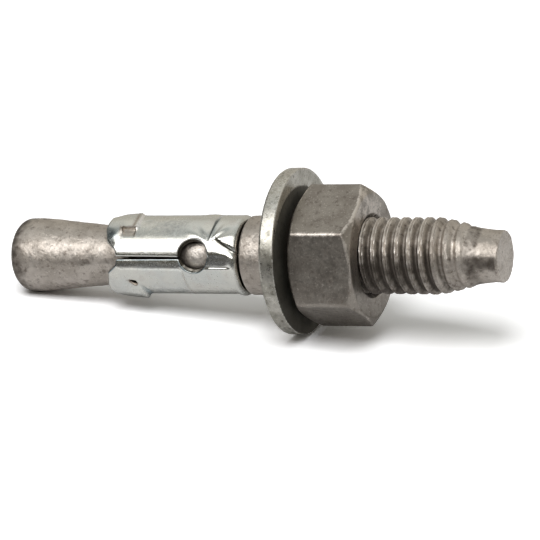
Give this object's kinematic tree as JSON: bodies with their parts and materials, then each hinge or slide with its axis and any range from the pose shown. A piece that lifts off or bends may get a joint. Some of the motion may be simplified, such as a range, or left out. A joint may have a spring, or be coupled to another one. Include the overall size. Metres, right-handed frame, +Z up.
{
  "type": "wedge anchor",
  "caption": "Metric M8 wedge anchor: stud with expander cone, rolled expansion sleeve with raised barbs, flat washer and hex nut, lying on its side.",
  "frame": {"origin": "on the table under the middle of the whole anchor's box, as the anchor lies at rest", "axes": "+Z up; +X along the anchor towards its threaded end, which leans up from the table by 8 degrees; +Y to the back"},
  "size_m": [0.054, 0.0168, 0.0169],
  "materials": {
    "galvanised_stud": "hot-dip galvanised, dull grey, finely mottled and pitted",
    "bright_zinc_sheet": "bright zinc plated, smooth and mirror-like",
    "galvanised_washer": "galvanised, satin grey with bright edges",
    "galvanised_nut": "hot-dip galvanised, dull warm grey with rubbed edges"
  },
  "bodies": {
    "stud": {"stud": "galvanised_stud"},
    "sleeve": {"expansion_sleeve": "bright_zinc_sheet"},
    "washer": {"washer": "galvanised_washer"},
    "nut": {"hex_nut": "galvanised_nut"}
  },
  "joints": [
    {"name": "sleeve_slide", "type": "slide", "parent": "stud", "child": "sleeve", "axis": [0.9904, 0, 0.1385], "range_m": [-0.0024, 0.0002]},
    {"name": "washer_travel", "type": "slide", "parent": "stud", "child": "washer", "axis": [0.9904, 0, 0.1385], "range_m": [-0.00011, 0.00981]},
    {"name": "nut_spin", "type": "hinge", "parent": "washer", "child": "nut", "pos_m": [0.00939, 0, 0.00864], "axis": [0.9904, 0, 0.1385], "range_deg": [-28.8, 2822.4]}
  ],
  "couplings": [
    {"joint": "washer_travel", "follows": "nut_spin", "m_per_rad": 0.00019894}
  ]
}
